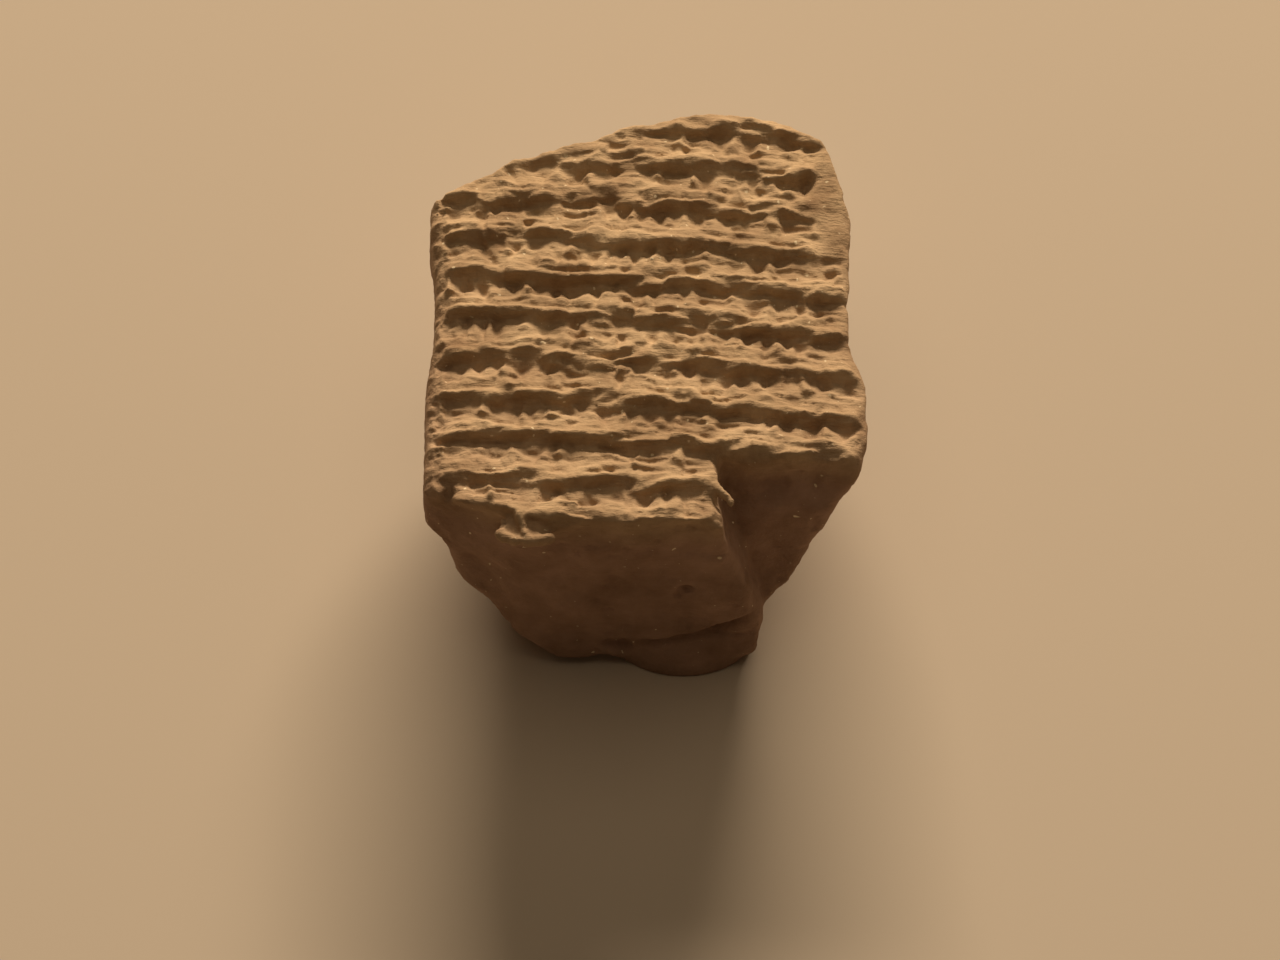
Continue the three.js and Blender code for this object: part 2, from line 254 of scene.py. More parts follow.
def grit(u, v, size, height, seed, octaves):
    """Lumps of a size in millimetres with finer lumps on them."""
    finer, total = FINER_GRIT, 0
    for octave in range(octaves):
        turn = finer["turn"] * octave + finer["first_turn"]
        across = (u * math.cos(turn) - v * math.sin(turn)) / size + finer["across"] * octave
        along = (u * math.sin(turn) + v * math.cos(turn)) / size + finer["along"] * octave
        total = total + height * lumps(across, along, seed + octave)
        size, height = size / finer["size"], height * finer["height"]
    return total


def smooth_max(a, b, width):
    return np.maximum(a, b) + np.maximum(width - np.abs(a - b), 0) ** 2 / (4 * width)


def smooth_min(a, b, width):
    return -smooth_max(-a, -b, width)


def face_height(x):
    """Height of the unmarked face, crowned in the middle and rounded over at the side edges."""
    past = np.abs(x) - CROWN_HALF_WIDTH
    crowned = THICKNESS - FACE_CROWN * (x / CROWN_HALF_WIDTH) ** 2
    rounded = SHOULDER + EDGE_RADIUS * np.sqrt(np.clip(1 - (past / EDGE_RADIUS) ** 2, 0, None))
    return np.where(past <= 0, crowned, rounded)


def stray_at(edge, y):
    """How far a side edge strays outwards at y."""
    return edge["out"] * np.exp(-(((y - edge["middle"]) / edge["half"]) ** 4))


def as_if_straight(x, y):
    """X as it would be if the side edges didn't stray."""
    strays = np.where(x > 0, stray_at(RIGHT_SWELL, y), stray_at(LEFT_DENT, y))
    return x - np.sign(x) * strays * np.minimum(1, (x / HALF_WIDTH) ** 2)


def inside_head(x, y):
    """How far a place on the face is inside the edge that the head breaks leave."""
    shoulder = HALF_LENGTH - SHOULDER_INSET + x * HEAD_SHOULDER / HALF_WIDTH
    (across, along), (run, fall) = HEAD_CORNER, HEAD_SLOPE
    corner = HALF_LENGTH - (x - HALF_WIDTH + across) * along / across
    long_slope = HALF_LENGTH - (x - HALF_WIDTH + run) * fall / run
    return np.minimum(np.minimum(HALF_LENGTH, shoulder), np.minimum(corner, long_slope)) - y


# The writing


def strokes_along(kind, line_y, line_seed):
    """One kind of stroke all along a line: places, turn in degrees, length, width and depth."""
    roll = dice(line_seed + kind["seed"])
    end = HALF_WIDTH - SIDE_MARGIN
    found = []
    x = -end + roll((0, kind["spacing"][0]))
    while x < end:
        y = line_y - x * FALL + roll(kind["rise"])
        turn = kind["turn"] - LINE_TILT + roll(kind["wobble"])
        length, width, depth = roll(kind["length"]), roll(kind["width"]), roll(kind["depth"])
        past = x + length * math.cos(math.radians(turn)) - end
        if past > 0:
            length = max(width, length - past)
        found.append((x, y, turn, length, width, depth))
        x += roll(kind["spacing"])
    return found


def levelled(stroke):
    """The stroke turned until its upper side runs along the line."""
    x, y, turn, length, width, depth = stroke
    return x, y, turn + math.degrees(math.atan(width / 2 / length)), length, width, depth


def furrow(along, across, stroke):
    """A long stroke's mark: a steep wall on its upper side and a floor that climbs to its lower side."""
    length, width, depth = stroke[3:]
    down = FURROW_TOP * width - across
    wall = np.clip(down / FURROW_WALL, 0, 1)
    climb = np.clip((down - FURROW_FLOOR) / (FURROW_REACH * width - FURROW_FLOOR), 0, 1)
    ends = np.clip(np.minimum(along / FURROW_HEAD, (length - along) / (FURROW_TAIL * length)), 0, 1)
    return -FURROW_SHARE * depth * wall**2 * (3 - 2 * wall) * (1 - climb) * ends * (2 - ends)


def wedge(along, across, stroke, steeper=0.0):
    """A small mark: walls that run down from an open triangle to one deepest line, one side steeper."""
    length, width, depth = stroke[3:]
    half = width / 2 * (1 - along / length)
    reach = width / 2 * (1 - HEAD_INSET * width / length)
    left = (half - across) / (reach * (1 - steeper))
    right = (half + across) / (reach * (1 + steeper))
    return -depth * np.clip(np.minimum(along / (HEAD_INSET * width), np.minimum(left, right)), 0, 1)


def steep_left(along, across, stroke):
    return wedge(along, across, stroke, STEEP_SIDE)


def steep_right(along, across, stroke):
    return wedge(along, across, stroke, -STEEP_SIDE)


def ridge(along, across, stroke):
    """A roll of clay pushed up beside a furrow."""
    length, width, depth = stroke[3:]
    near = np.clip(along / (RIDGE_ENDS["head"] * width), 0, 1)
    far = np.clip((length - along) / (RIDGE_ENDS["tail"] * length), 0, 1)
    ends = np.sqrt(near * (2 - near)) * far * (2 - far)
    half = width / 2 * (RIDGE_HALF["narrow"] + RIDGE_HALF["swell"] * ends)
    return depth * ends * np.clip(1 - (across / half) ** 2, 0, 1) ** RIDGE_FULLNESS


def spur(along, across, stroke):
    """Clay left standing between marks, broad at the foot of a furrow and narrow towards its top."""
    return -wedge(along, across, stroke, STEEP_SIDE)


def level_strokes(x, y, room, roll):
    """A stack of level strokes."""
    for k in range(round(roll(LEVEL["count"]))):
        turn = -LINE_TILT + roll(LEVEL["turn"])
        top = y + LEVEL["top"] - LEVEL["step"] * k + roll(LEVEL["stray"])
        length = room + roll(LEVEL["longer"])
        start = x + roll(LEVEL["start"])
        yield steep_left, (start, top, turn, length, roll(LEVEL["width"]), roll(LEVEL["depth"]))


def upright_strokes(x, y, room, roll):
    """Uprights side by side, with spurs of clay left standing between their heads."""
    count = max(1, round(room / roll(UPRIGHT["gap"])))
    gap = room / count
    turn, rise = -90 - LINE_TILT + roll(UPRIGHT["turn"]), roll(UPRIGHT["rise"])
    for k in range(count):
        rule = steep_left if roll((0, 1)) < 0.5 else steep_right
        head = (x + gap * (k + 0.5), y - gap * k * FALL + rise + roll(UPRIGHT["own_rise"]))
        size = (roll(UPRIGHT["length"]), gap * roll(UPRIGHT["share"]), roll(UPRIGHT["depth"]))
        yield rule, (*head, turn + roll(UPRIGHT["own_turn"]), *size)


def slanting_strokes(x, y, room, roll):
    """Two broad strokes that slant down, one each way."""
    for turn in SLANT["turns"]:
        head = (x + room * roll(SLANT["head"]), y + roll(SLANT["rise"]))
        size = (roll(SLANT["length"]), roll(SLANT["width"]), roll(SLANT["depth"]))
        yield steep_left, (*head, turn + roll(SLANT["own_turn"]), *size)


def signs(line_y, line_seed):
    """The small marks along a line, in groups, with a bare stretch now and then."""
    roll = dice(line_seed + SIGN_SEED)
    end = HALF_WIDTH - SIDE_MARGIN
    x = -end
    while x < end - NARROWEST_SIGN:
        room = min(roll(SIGN_WIDTH), end - x)
        kind = roll((0, 1))
        if kind < LEVEL_SIGNS:
            yield from level_strokes(x, line_y - x * FALL, room, roll)
        elif kind < UPRIGHT_SIGNS:
            yield from upright_strokes(x, line_y - x * FALL, room, roll)
        elif kind < SLANTING_SIGNS:
            yield from slanting_strokes(x, line_y - x * FALL, room, roll)
        x += room


class WrittenFace:
    """Heights over the unmarked face, on a grid."""

    def __init__(self, xs, ys):
        self.xs, self.ys = xs, ys
        self.x, self.y = as_if_straight(xs[:, None], ys[None, :]), ys[None, :] + 0 * xs[:, None]
        self.heights = 0 * self.x
        self.bend = sum(
            bend["height"] * lumps(self.x / bend["across"], self.y / bend["along"], bend["seed"])
            for bend in LINE_BENDS
        )

    def near(self, stroke):
        """The part of the grid that a stroke reaches, and the distances along and across it there."""
        x, y, turn, length, width = stroke[:5]
        reach = length + width + MOST_BEND
        places = ((self.xs, x), (self.ys, y))
        spans = [np.searchsorted(line, (at - reach, at + reach)) for line, at in places]
        part = tuple(slice(*span) for span in spans)
        right, up = self.x[part] - x, self.y[part] - y + self.bend[part]
        c, s = math.cos(math.radians(turn)), math.sin(math.radians(turn))
        return part, right * c + up * s, up * c - right * s

    def press(self, rule, strokes, share=1.0):
        """Strokes that cut as deep as their own depth, whatever was there."""
        for stroke in strokes:
            part, along, across = self.near(stroke)
            mark, before = share * rule(along, across, stroke), self.heights[part]
            self.heights[part] = np.where(mark < 0, smooth_min(before, mark, MARK_ROUNDING), before)

    def work(self, rule, stroke):
        """A stroke that lowers or raises what is there."""
        part, along, across = self.near(stroke)
        self.heights[part] += rule(along, across, stroke)

    def drag(self, turn, length, width, height, seed):
        """Thin lines of clay dragged in one direction."""
        c, s = math.cos(math.radians(turn)), math.sin(math.radians(turn))
        y = self.y + self.bend
        u, v = (self.x * c + y * s) / length, (y * c - self.x * s) / width
        finer = lumps(FINER_DRAG["along"] * u, FINER_DRAG["across"] * v, seed + FINER_DRAG["seed"])
        return height * (lumps(u, v, seed) + FINER_DRAG["share"] * finer)


def pressed_writing(face):
    """Presses and works all the strokes of all the lines into the face."""
    rows = range(math.floor((FACE_LENGTH + LINE_PITCH) / LINE_PITCH))
    lines = [(HALF_LENGTH - FIRST_LINE_INSET - row * LINE_PITCH, WRITING_SEED * (row + 1)) for row in rows]
    for line in lines:
        face.press(furrow, map(levelled, strokes_along(LONG_STROKE, *line)))
        face.press(steep_left, strokes_along(SHORT_STROKE, *line))
        face.press(steep_left, strokes_along(UPRIGHT_STROKE, *line), UPRIGHT_SHARE)
    changes = DEPTH_CHANGES
    along_lines = (face.y + face.x * FALL) / changes["along"]
    wave = lumps(face.x / changes["across"] + changes["start"], along_lines, changes["seed"])
    face.heights *= 1 + changes["share"] * wave
    for line in lines:
        for rule, stroke in signs(*line):
            face.work(rule, stroke)
        for stroke in strokes_along(CREASE, *line):
            face.work(steep_left, stroke)
    for line in lines:
        for rule, kind in ((ridge, RIDGE), (ridge, UPPER_RIDGE), (spur, SPUR)):
            for stroke in strokes_along(kind, *line):
                face.work(rule, stroke)


def with_dragged_clay(face, marked):
    """The marks with fine lines: level ones all over, and patches of them that cross the writing."""
    marked = marked + face.drag(**LEVEL_DRAG)
    for turn, seed in CROSS_DRAGS:
        patches = lumps(face.x / DRAG_PATCHES["across"] + seed, face.y / DRAG_PATCHES["along"], seed)
        where = np.clip(DRAG_PATCHES["sharpness"] * patches - DRAG_PATCHES["rarity"], 0, 1)
        marked += where * face.drag(turn, seed=seed + 1, **CROSS_DRAG)
    return marked


def marked_share(face):
    """How much of the marks is left at each place: none at the very edges, little on the blank stretch."""
    edge = BLANK["x"] + BLANK["stray"] * lumps(face.y / BLANK["size"], 0 * face.y, BLANK["seed"])
    above = np.clip((face.y - BLANK["y"]) / BLANK["fade"], 0, 1)
    bare = np.clip((face.x - edge) / BLANK["fade"], 0, 1) * above
    margin = np.clip((HALF_WIDTH - BARE_SIDE - np.abs(face.x)) / SIDE_FADE, 0, 1)
    worn_head = np.clip((inside_head(face.x, face.y) - BARE_HEAD) / HEAD_FADE, 0, 1)
    return margin * (1 - BLANK["share"] * bare) * worn_head


def written_face(xs, ys):
    """Heights of the writing over the unmarked face, on a grid."""
    face = WrittenFace(xs, ys)
    pressed_writing(face)
    marked = blurred(np.clip(face.heights, DEEPEST_MARK, HIGHEST_MARK), BLUR / MAP_STEP)
    marked = with_dragged_clay(face, marked) * marked_share(face)
    crumbled = np.clip((CRUMBLED_EDGE["width"] - HALF_WIDTH - face.x) / CRUMBLED_EDGE["width"], 0, 1)
    marked -= CRUMBLED_EDGE["depth"] * crumbled * (1 + grit(face.x, face.y, **CRUMBS))
    return marked + grit(face.x, face.y, **FACE_GRIT) + grit(face.x, face.y, **FINE_FACE_GRIT)


def blurred(values, width):
    """Values on a grid, softened over a width in its cells."""
    reach = int(3 * width) + 1
    weights = np.exp(-0.5 * (np.arange(-reach, reach + 1) / width) ** 2)
    weights /= weights.sum()
    for axis in (0, 1):
        padded = np.pad(values, [(reach, reach) if k == axis else (0, 0) for k in (0, 1)], mode="edge")
        size = values.shape[axis]
        values = sum(w * np.take(padded, range(k, k + size), axis) for k, w in enumerate(weights))
    return values


# The breaks


def turned_to(out):
    """The turn from straight up to a direction by the shortest way, or about Y to straight down."""
    if out[:2] == (0, 0):
        return Matrix.Diagonal((math.copysign(1, out[2]), 1, math.copysign(1, out[2])))
    return Vector((0, 0, 1)).rotation_difference(Vector(out).normalized()).to_matrix()


class Space:
    """A grid of points, with values that are negative inside the clay and positive outside it."""

    def __init__(self, xs, ys, zs):
        self.x = xs[:, None, None]
        self.y = ys[None, :, None]
        self.z = zs[None, None, :]

    def past_break(self, point, out, seed, roughness=BREAK_ROUGHNESS, radii=STRAIGHT, stray=None):
        """How far places are past a break through a point that faces a direction, bent to two radii."""
        turn = turned_to(out)
        gone = [axis - start for axis, start in zip((self.x, self.y, self.z), point)]
        u, v, w = (sum(turn[row][column] * gone[row] for row in range(3)) for column in range(3))
        w = w + u**2 / (2 * radii[0]) + v**2 / (2 * radii[1])
        if stray:
            w = w - stray(u, v)
        near = np.nonzero(np.abs(w) < BREAK_BAND)
        table = break_table(seed, roughness)
        place = [np.clip((t[near] + REACH / 2) / TABLE_STEP, 0, len(table) - 1.001) for t in (u, v)]
        (i, j), (a, b) = zip(*((p.astype(np.int32), p - np.floor(p)) for p in place))
        low = table[i, j] * (1 - a) + table[i + 1, j] * a
        high = table[i, j + 1] * (1 - a) + table[i + 1, j + 1] * a
        w[near] -= low * (1 - b) + high * b
        return w

    def bulging_side(self, edge, edge_height, rim_x, bulge, seed):
        """How far places are past a side break, which bulges between the edge and the underside's rim."""
        side = edge["side"]
        run = HALF_WIDTH - rim_x
        chord = math.hypot(run, edge_height)
        out = (side * edge_height / chord, 0, -run / chord)
        middle = (side * (HALF_WIDTH + rim_x) / 2 + bulge * out[0], 0, edge_height / 2 + bulge * out[2])

        def stray(down, y):
            return np.clip(0.5 - side * down / chord, 0, 1) * stray_at(edge, y)

        return self.past_break(middle, out, seed, radii=(chord**2 / (8 * bulge), math.inf), stray=stray)

    def lump(self, middle, half_sizes):
        """About how far places are outside an egg-shaped lump."""
        gone = sum(
            ((axis - m) / half) ** 2 for axis, m, half in zip((self.x, self.y, self.z), middle, half_sizes)
        )
        return (np.sqrt(gone) - 1) * min(half_sizes)

    def roll_of_clay(self, places):
        """A thin roll of clay through a row of places, thinner towards its end."""
        nearest = math.inf
        pieces = len(places) - 1
        for k, (start, end) in enumerate(zip(places, places[1:])):
            span = [b - a for a, b in zip(start, end)]
            gone = [axis - a for axis, a in zip((self.x, self.y, self.z), start)]
            along = np.clip(sum(g * s for g, s in zip(gone, span)) / sum(s * s for s in span), 0, 1)
            thick = THIN_ROLL["start"] + (THIN_ROLL["end"] - THIN_ROLL["start"]) * (k + along) / pieces
            from_middle = np.sqrt(sum((g - along * s) ** 2 for g, s in zip(gone, span)))
            nearest = np.minimum(nearest, from_middle - thick)
        return nearest


def break_table(seed, roughness):
    """Heights over a broken surface: the solid's own lumps, joined smoothly, and the grain of the clay."""
    cells = round(REACH / BREAK_CELL)
    coarse = (np.arange(cells + 1) / cells - 0.5) * REACH
    u, v = np.meshgrid(coarse / BREAK_LUMP, coarse / BREAK_LUMP, indexing="ij")
    heights = roughness * (lumps(u, v, seed) + 0.5 * lumps(2 * u, 2 * v, seed + 1))
    fine = np.arange(-REACH / 2, REACH / 2 + TABLE_STEP, TABLE_STEP)
    place = np.clip((fine + REACH / 2) / (REACH / cells), 0, cells - 0.001)
    i = place.astype(int)
    t = place - i
    blend = np.zeros((len(fine), cells + 1))
    curve = (-t + 2 * t**2 - t**3, 2 - 5 * t**2 + 3 * t**3, t + 4 * t**2 - 3 * t**3, -(t**2) + t**3)
    for offset, weight in zip((-1, 0, 1, 2), curve):
        np.add.at(blend, (np.arange(len(fine)), np.clip(i + offset, 0, cells)), weight / 2)
    u, v = np.meshgrid(fine, fine, indexing="ij")
    grain = grit(u, v, seed=seed + GRIT_SEED, **BREAK_GRIT)
    pits = np.clip(lumps(u / PIT["size"], v / PIT["size"], seed + PIT_SEED) - PIT["rarity"], 0, 1)
    return blend @ heights @ blend.T + grain - PIT["depth"] * pits


def lip_groove(space):
    """Depth of the groove that runs over the foot's rounded lip, climbing to the right."""
    groove, path = LIP_GROOVE, GROOVE_PATH
    climbed = path["climb"] * np.maximum(space.x - path["level_to"], 0) ** 2
    middle = path["height"] + climbed + path["stray"] * lumps(space.x / path["size"], 0, path["seed"])
    ends = np.clip(np.minimum(space.x - groove["left"], groove["right"] - space.x) / groove["fade"], 0, 1)
    below = np.where(space.z < middle, groove["below"], 1)
    return groove["depth"] * ends * np.exp(-(((space.z - middle) / (below * groove["half"])) ** 2))


def hollow_at(space, hollow):
    """How far a hollow that runs level along a break goes in at each height."""
    return hollow["depth"] * np.exp(-(((space.z - hollow["height"]) / hollow["half"]) ** 2))


def slope(degrees):
    """Rise over run of a lean in degrees."""
    return math.tan(math.radians(degrees))


def past_face(space, xs, ys, heights):
    """How far places are outside the formed tablet, with its written face and the cut of its side edges."""
    straight_x = as_if_straight(xs[:, None], ys[None, :])
    top = face_height(straight_x) + heights
    steep = np.hypot(*np.gradient(top, xs, ys))
    past = (space.z - top[:, :, None]) / np.sqrt(1 + np.minimum(steep, STEEPEST) ** 2)[:, :, None]
    side_grit = grit(space.y, space.z, **SIDE_GRIT)
    return smooth_max(past, (np.abs(straight_x) - HALF_WIDTH)[:, :, None] + side_grit, SIDE_ROUNDING)


def head_breaks(space):
    """The breaks at the head: its end, its shoulder, its corner and the long slope beside that."""
    lean = -UNDERSIDE_HEAD_INSET / THICKNESS
    yield space.past_break((0, HALF_LENGTH, THICKNESS), (0, 1, lean), BREAK_SEEDS["head"])
    shoulder = (0, HALF_LENGTH - SHOULDER_INSET, THICKNESS)
    yield space.past_break(shoulder, (-HEAD_SHOULDER / HALF_WIDTH, 1, lean), BREAK_SEEDS["shoulder"])
    for (across, along), name in ((HEAD_CORNER, "head_corner"), (HEAD_SLOPE, "head_slope")):
        start = (HALF_WIDTH - across, HALF_LENGTH, THICKNESS)
        yield space.past_break(start, (along, across, lean * across), BREAK_SEEDS[name], WORN_ROUGHNESS)


def sides_and_underside(space):
    """The breaks of both flanks and the worn underside."""
    left_height, right_height = THICKNESS - LEFT_EDGE_DEPTH, THICKNESS - RIGHT_EDGE_DEPTH
    yield space.bulging_side(LEFT_DENT, left_height, UNDERSIDE_LEFT, LEFT_BULGE, BREAK_SEEDS["left"])
    yield space.bulging_side(RIGHT_SWELL, right_height, UNDERSIDE_RIGHT, RIGHT_BULGE, BREAK_SEEDS["right"])
    worn = (0, 0, -UNDERSIDE_WEAR)
    yield space.past_break(worn, (0, 0, -1), BREAK_SEEDS["underside"], WORN_ROUGHNESS, UNDERSIDE_ROUNDING)


def foot_breaks(space):
    """The breaks at the foot: its two facets, and the step that its flank and its back make."""
    foot_out = (0, -1, -slope(FOOT_LEAN))
    foot = space.past_break((0, -HALF_LENGTH, THICKNESS), foot_out, BREAK_SEEDS["foot"], WORN_ROUGHNESS)
    yield foot + lip_groove(space)
    across, along = FOOT_CORNER
    corner = (-HALF_WIDTH, -HALF_LENGTH + along, THICKNESS)
    corner_out = (-along, -across, -across * slope(FOOT_LEAN))
    yield space.past_break(corner, corner_out, BREAK_SEEDS["foot_corner"])
    step_x, step_y = HALF_WIDTH - FOOT_STEP_WIDTH, -HALF_LENGTH + FOOT_STEP_DEPTH
    flank_out = (1, slope(STEP_FLANK_TURN), slope(STEP_FLANK_LEAN))
    flank = space.past_break((step_x, step_y, THICKNESS), flank_out, BREAK_SEEDS["flank"], WORN_ROUGHNESS)
    back = space.past_break((0, step_y, THICKNESS), (0, -1, slope(FOOT_STEP_LEAN)), BREAK_SEEDS["step"])
    flank, back = flank + hollow_at(space, FLANK_HOLLOW), back + hollow_at(space, STEP_HOLLOW)
    yield smooth_min(flank, back, STEP_ROUNDING)


def outside_clay(xs, ys, zs, heights):
    """Values over the whole grid: negative inside the piece."""
    space = Space(xs, ys, zs)
    out = past_face(space, xs, ys, heights)
    for gone in head_breaks(space):
        out = smooth_max(out, gone, HEAD_ROUNDING)
    for gone in sides_and_underside(space):
        out = smooth_max(out, gone, BODY_ROUNDING)
    softer = FOOT_ROUNDING
    further_down = np.clip((THICKNESS - softer["start"] - space.z) / softer["run"], 0, 1)
    for gone in foot_breaks(space):
        out = smooth_max(out, gone, softer["face"] + softer["more"] * further_down)
    for middle, half_sizes in FOOT_PITS:
        out = smooth_max(out, -space.lump(middle, half_sizes), SMALL_ROUNDING)
    chip_grit = grit(space.x, space.y, **CHIP_GRIT)
    out = smooth_max(out, -space.lump(**CHIPPED_CORNER) + chip_grit, SMALL_ROUNDING)
    for places in (STEP_HOOK, LEDGE_LINK, LEDGE_RIM):
        out = smooth_min(out, space.roll_of_clay(places) + chip_grit, SMALL_ROUNDING)

    lip = FOOT_LIP
    lip_middle = (UNDERSIDE_RIGHT + lip["past"] - lip["across"], -HALF_LENGTH + lip["inset"], 0)
    lip_lump = space.lump(lip_middle, (lip["across"], lip["along"], lip["height"]))
    out = smooth_min(out, lip_lump, LIP_ROUNDING)
    ledge = FOOT_LEDGE
    ledge_x = -(HALF_WIDTH - FOOT_CORNER[0] + ledge["past"])
    ledge_middle = (ledge_x, -HALF_LENGTH, THICKNESS - ledge["below"])
    ledge_lump = space.lump(ledge_middle, (ledge["across"], ledge["along"], ledge["height"]))
    out = smooth_min(out, ledge_lump + LEDGE_GRIT_SHARE * chip_grit, LEDGE_ROUNDING)
    notch = (-FOOT_NOTCH["left"], -HALF_LENGTH, 0)
    out = smooth_max(out, -space.lump(notch, [FOOT_NOTCH["radius"]] * 3), SMALL_ROUNDING)
    return smooth_max(out, -space.z + 0 * out, REST_ROUNDING)


# The skin


def skin(values, xs, ys, zs):
    """Corners and four-sided faces of the surface where the values pass through nought."""
    axes = (xs, ys, zs)
    inside = values < 0
    cells = [n - 1 for n in values.shape]
    stride = (cells[1] * cells[2], cells[2], 1)
    sums, quads = [], []
    for d in range(3):
        e, f = (d + 1) % 3, (d + 2) % 3
        before = tuple(slice(0, -1) if k == d else slice(None) for k in range(3))
        after = tuple(slice(1, None) if k == d else slice(None) for k in range(3))
        cut = np.nonzero(inside[before] != inside[after])
        middle = (cut[e] > 0) & (cut[e] < cells[e]) & (cut[f] > 0) & (cut[f] < cells[f])
        cut = [c[middle] for c in cut]
        ahead = [c + (k == d) for k, c in enumerate(cut)]
        a, b = values[tuple(cut)], values[tuple(ahead)]
        t = a / (a - b)
        point = [axes[k][cut[k]] for k in range(3)]
        point[d] = point[d] + t * (axes[d][cut[d] + 1] - axes[d][cut[d]])
        around = []
        for de, df in ((0, 0), (-1, 0), (-1, -1), (0, -1)):
            at = list(cut)
            at[e], at[f] = at[e] + de, at[f] + df
            around.append(sum(at[k] * stride[k] for k in range(3)))
            sums.append((around[-1], *point))
        quad = np.stack(around, 1)
        outward = a < 0
        quads.append(np.where(outward[:, None], quad, quad[:, ::-1]))
    ids = np.concatenate([s[0] for s in sums])
    used, where, count = np.unique(ids, return_inverse=True, return_counts=True)
    corners = np.stack(
        [np.bincount(where, np.concatenate([s[k] for s in sums])) / count for k in (1, 2, 3)], 1
    )
    quads = np.searchsorted(used, np.concatenate(quads))
    return corners, quads


def mesh_from(name, corners, quads):
    """An object of four-sided faces, from millimetres into metres."""
    mesh = bpy.data.meshes.new(name)
    mesh.vertices.add(len(corners))
    mesh.vertices.foreach_set("co", (corners * MM).astype(np.float32).ravel())
    mesh.loops.add(quads.size)
    mesh.loops.foreach_set("vertex_index", quads.astype(np.int32).ravel())
    mesh.polygons.add(len(quads))
    mesh.polygons.foreach_set("loop_start", np.arange(0, quads.size, 4, dtype=np.int32))
    mesh.update(calc_edges=True)
    mesh.validate()
    made = bpy.data.objects.new(name, mesh)
    bpy.context.scene.collection.objects.link(made)
    return made


def sculpted_fragment():
    """The whole piece as one skin, with finer cells near the written face."""
    xs = np.arange(-HALF_WIDTH - ROOM["left"], HALF_WIDTH + ROOM["right"], CELL)
    ys = np.arange(-HALF_LENGTH - ROOM["ends"], HALF_LENGTH + ROOM["ends"], CELL)
    face_zone = THICKNESS - FACE_ZONE
    coarse_zs = np.arange(-2 * CELL, face_zone, 2 * CELL)
    zs = np.concatenate([coarse_zs, np.arange(face_zone, THICKNESS + ROOM["top"], CELL)])
    fine_xs = np.arange(xs[0], xs[-1] + MAP_STEP, MAP_STEP)
    fine_ys = np.arange(ys[0], ys[-1] + MAP_STEP, MAP_STEP)
    fine_heights = written_face(fine_xs, fine_ys)
    i, j = np.searchsorted(fine_xs, xs - 1e-6), np.searchsorted(fine_ys, ys - 1e-6)
    heights = fine_heights[np.ix_(np.clip(i, 0, len(fine_xs) - 1), np.clip(j, 0, len(fine_ys) - 1))]
    values = outside_clay(xs, ys, zs, heights)
    corners, quads = skin(values.astype(np.float32), xs, ys, zs)
    made = mesh_from("tablet_clay", corners, quads)
    thin_out(made)
    return made


def thin_out(made):
    """Fewer triangles, taken first from where the surface is flattest, and smooth shading."""
    mesh = made.data
    fewer = made.modifiers.new("fewer", "DECIMATE")
    fewer.ratio = min(1, MOST_TRIANGLES / (2 * len(mesh.polygons)))
    final = bpy.data.meshes.new_from_object(made.evaluated_get(bpy.context.evaluated_depsgraph_get()))
    made.modifiers.clear()
    made.data = final
    final.name = "tablet_clay"
    bpy.data.meshes.remove(mesh)
    final.polygons.foreach_set("use_smooth", [True] * len(final.polygons))


# Materials


def linear(hex_colour):
    """A colour as screens show it, turned into the linear one that shaders take."""
    parts = [int(hex_colour[k : k + 2], 16) / 255 for k in (1, 3, 5)]
    return [*((c / 12.92 if c <= 0.04045 else ((c + 0.055) / 1.055) ** 2.4) for c in parts), 1]


def add_node(tree, kind, links=(), **settings):
    """Adds a node with its settings and its incoming links."""
    node = tree.nodes.new(kind)
    for name, value in settings.items():
        if name in node.bl_rna.properties:
            setattr(node, name, value)
        else:
            node.inputs[name.replace("_", " ")].default_value = value
    for socket, source in dict(links).items():
        tree.links.new(source, node.inputs[socket])
    return node


def clay_tones(tree, patches, dark, light):
    """Soft patches of two near colours."""
    tones = add_node(tree, "ShaderNodeValToRGB", {"Fac": patches})
    for element, place, colour in zip(tones.color_ramp.elements, PATCH_EDGES, (dark, light)):
        element.position, element.color = place, linear(colour)
    return tones.outputs["Color"]


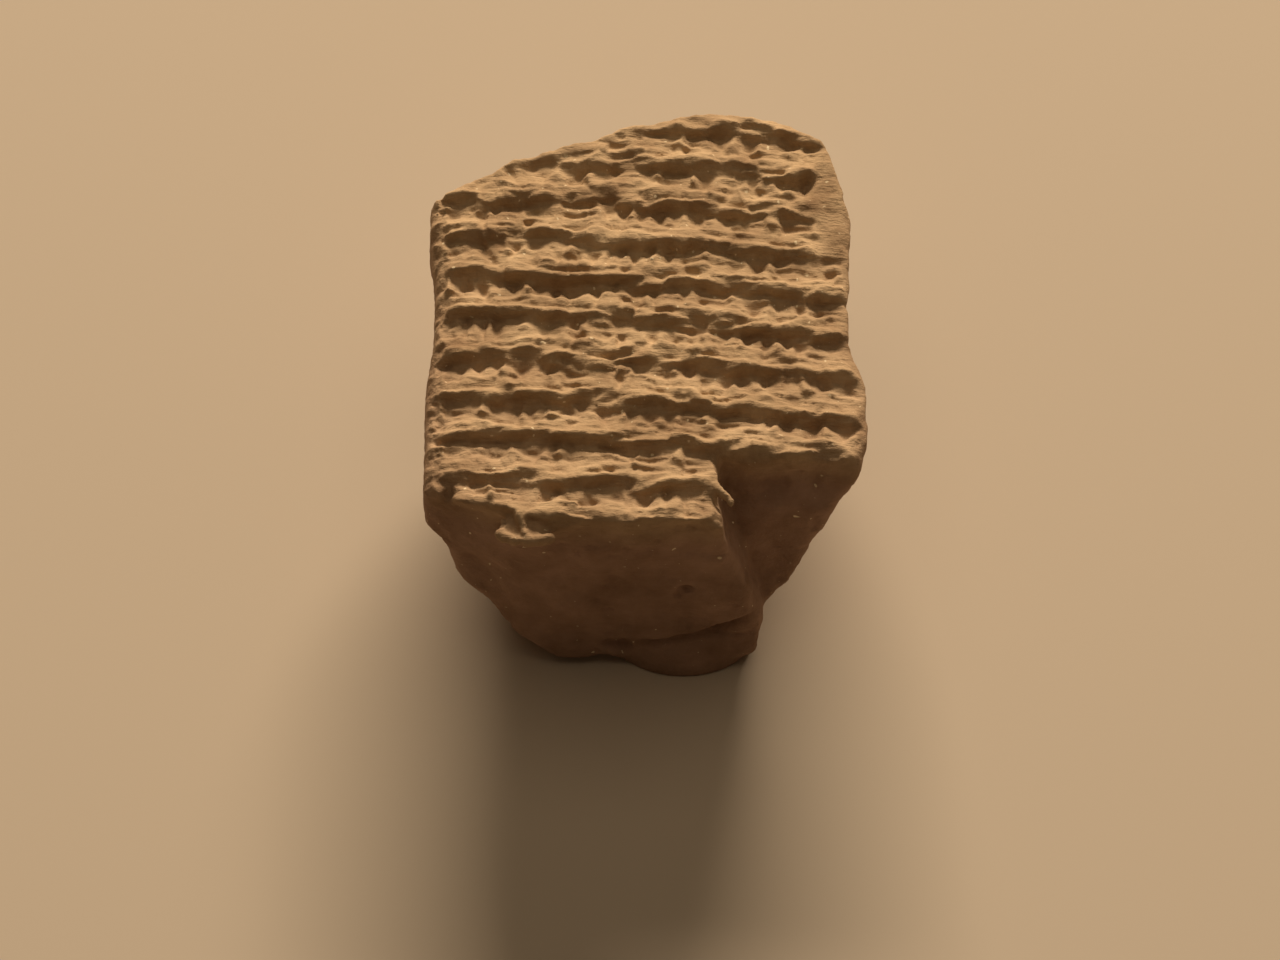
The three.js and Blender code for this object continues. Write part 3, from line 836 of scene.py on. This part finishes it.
def unfired_clay():
    """Dry unfired clay: fully matt, a pale tan written face over a redder body darkened with painted shade,
    and rare pale specks painted as glints.
    """
    material = bpy.data.materials.new("dry_unfired_clay")
    material.use_nodes = True
    tree = material.node_tree
    shader = tree.nodes["Principled BSDF"]
    shader.inputs["Roughness"].default_value = 0.92
    shader.inputs["Specular IOR Level"].default_value = 0.25
    place = add_node(tree, "ShaderNodeTexCoord").outputs["Object"]
    noise = add_node(tree, "ShaderNodeTexNoise", {"Vector": place}, Scale=150.0, Detail=6.0, Roughness=0.65)
    patches = noise.outputs["Fac"]
    tilted = add_node(tree, "ShaderNodeMapping", {"Vector": place}, Rotation=(FACE_TILT, 0.0, 0.0))
    height = add_node(tree, "ShaderNodeSeparateXYZ", {"Vector": tilted.outputs["Vector"]}).outputs["Z"]
    # Below the face the clay turns a little redder and darker; the darkening is painted shade for the
    # breaks turned away from the key light.
    share = add_node(tree, "ShaderNodeMapRange", {"Value": height}, From_Min=SHADED_BODY_TOP, From_Max=FACE_FOOT)
    tones = {
        "Fac": share.outputs["Result"],
        "Color1": clay_tones(tree, patches, "#866851", "#AC8A73"),
        "Color2": clay_tones(tree, patches, "#937656", "#C9AC85"),
    }
    clay = add_node(tree, "ShaderNodeMixRGB", tones).outputs["Color"]
    # Rare pale specks are painted glints: lighter colour only, and the roughness stays the same.
    glint_noise = add_node(tree, "ShaderNodeTexNoise", {"Vector": place}, Scale=1500.0, Detail=0.0).outputs["Fac"]
    painted_glint_mask = add_node(tree, "ShaderNodeMapRange", {"Value": glint_noise}, From_Min=0.81, From_Max=0.85)
    painted_glint_mix = {"Fac": painted_glint_mask.outputs["Result"], "Color1": clay}
    colour = add_node(tree, "ShaderNodeMixRGB", painted_glint_mix, Color2=linear("#DFCBA6"))
    tree.links.new(colour.outputs["Color"], shader.inputs["Base Color"])
    grain = add_node(tree, "ShaderNodeTexNoise", {"Vector": place}, Scale=2200.0, Detail=3.0, Roughness=0.6)
    grain_out = {"Height": grain.outputs["Fac"]}
    pores = add_node(tree, "ShaderNodeBump", grain_out, Strength=0.5, Distance=0.0002)
    drawn = add_node(tree, "ShaderNodeMapping", {"Vector": place}, Scale=(0.16, 1.0, 1.0))
    drawn_out = {"Vector": drawn.outputs["Vector"]}
    strands = add_node(tree, "ShaderNodeTexNoise", drawn_out, Scale=3000.0, Detail=3.0, Distortion=0.4)
    relief = {"Height": strands.outputs["Fac"], "Normal": pores.outputs["Normal"]}
    bump = add_node(tree, "ShaderNodeBump", relief, Strength=0.7, Distance=0.0002)
    tree.links.new(bump.outputs["Normal"], shader.inputs["Normal"])
    return material


def floor_paper():
    """Matt pale card: a plain warm ground that shows the shadow."""
    material = bpy.data.materials.new("pale_card")
    material.use_nodes = True
    shader = material.node_tree.nodes["Principled BSDF"]
    shader.inputs["Base Color"].default_value = linear("#CCBDA8")
    shader.inputs["Roughness"].default_value = 0.95
    shader.inputs["Specular IOR Level"].default_value = 0.1
    return material


# The setting

# The camera: metres, degrees from straight down, and millimetres of lens and sensor
CAMERA = dict(place=(-0.0001575, -0.383384, 0.586584), tilt=33, lens=155.25, sensor=36)


def make_floor():
    bpy.ops.mesh.primitive_plane_add(size=6, location=(0, 0, 0))
    floor = bpy.context.object
    floor.name = "floor"
    floor.data.materials.append(floor_paper())


def make_light(name, place, target, size, power, colour):
    """A soft rectangular lamp that faces its target. Places and sizes are in metres, power in watts."""
    lamp = bpy.data.lights.new(name, "AREA")
    lamp.shape = "RECTANGLE"
    lamp.size, lamp.size_y = size
    lamp.energy = power
    lamp.color = linear(colour)[:3]
    made = bpy.data.objects.new(name, lamp)
    made.location = place
    made.rotation_euler = (Vector(target) - Vector(place)).to_track_quat("-Z", "Y").to_euler()
    bpy.context.scene.collection.objects.link(made)


def make_camera():
    camera = bpy.data.objects.new("camera", bpy.data.cameras.new("camera"))
    camera.data.lens = CAMERA["lens"]
    camera.data.sensor_width = CAMERA["sensor"]
    camera.location = CAMERA["place"]
    camera.rotation_euler = (math.radians(CAMERA["tilt"]), 0, 0)
    bpy.context.scene.collection.objects.link(camera)
    bpy.context.scene.camera = camera


def make_setting():
    make_floor()
    key = dict(place=(0.16, 1.8, 1.0), target=(0, 0, 0.03), size=(1.2, 0.6))
    make_light("key_light", **key, power=66, colour="#FFEAD0")
    ceiling = dict(place=(0, 0.1, 0.9), target=(0, 0, 0), size=(0.8, 0.8))
    make_light("ceiling", **ceiling, power=1.5, colour="#F4DEC0")
    world = bpy.data.worlds.new("room")
    world.use_nodes = True
    world.node_tree.nodes["Background"].inputs["Color"].default_value = linear("#E8C9A6")
    world.node_tree.nodes["Background"].inputs["Strength"].default_value = 0.06
    bpy.context.scene.world = world
    bpy.context.scene.view_settings.view_transform = "Standard"
    make_camera()


fragment = sculpted_fragment()
fragment.data.materials.append(unfired_clay())
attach(fragment, "root")
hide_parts("tablet_fragment")
make_setting()
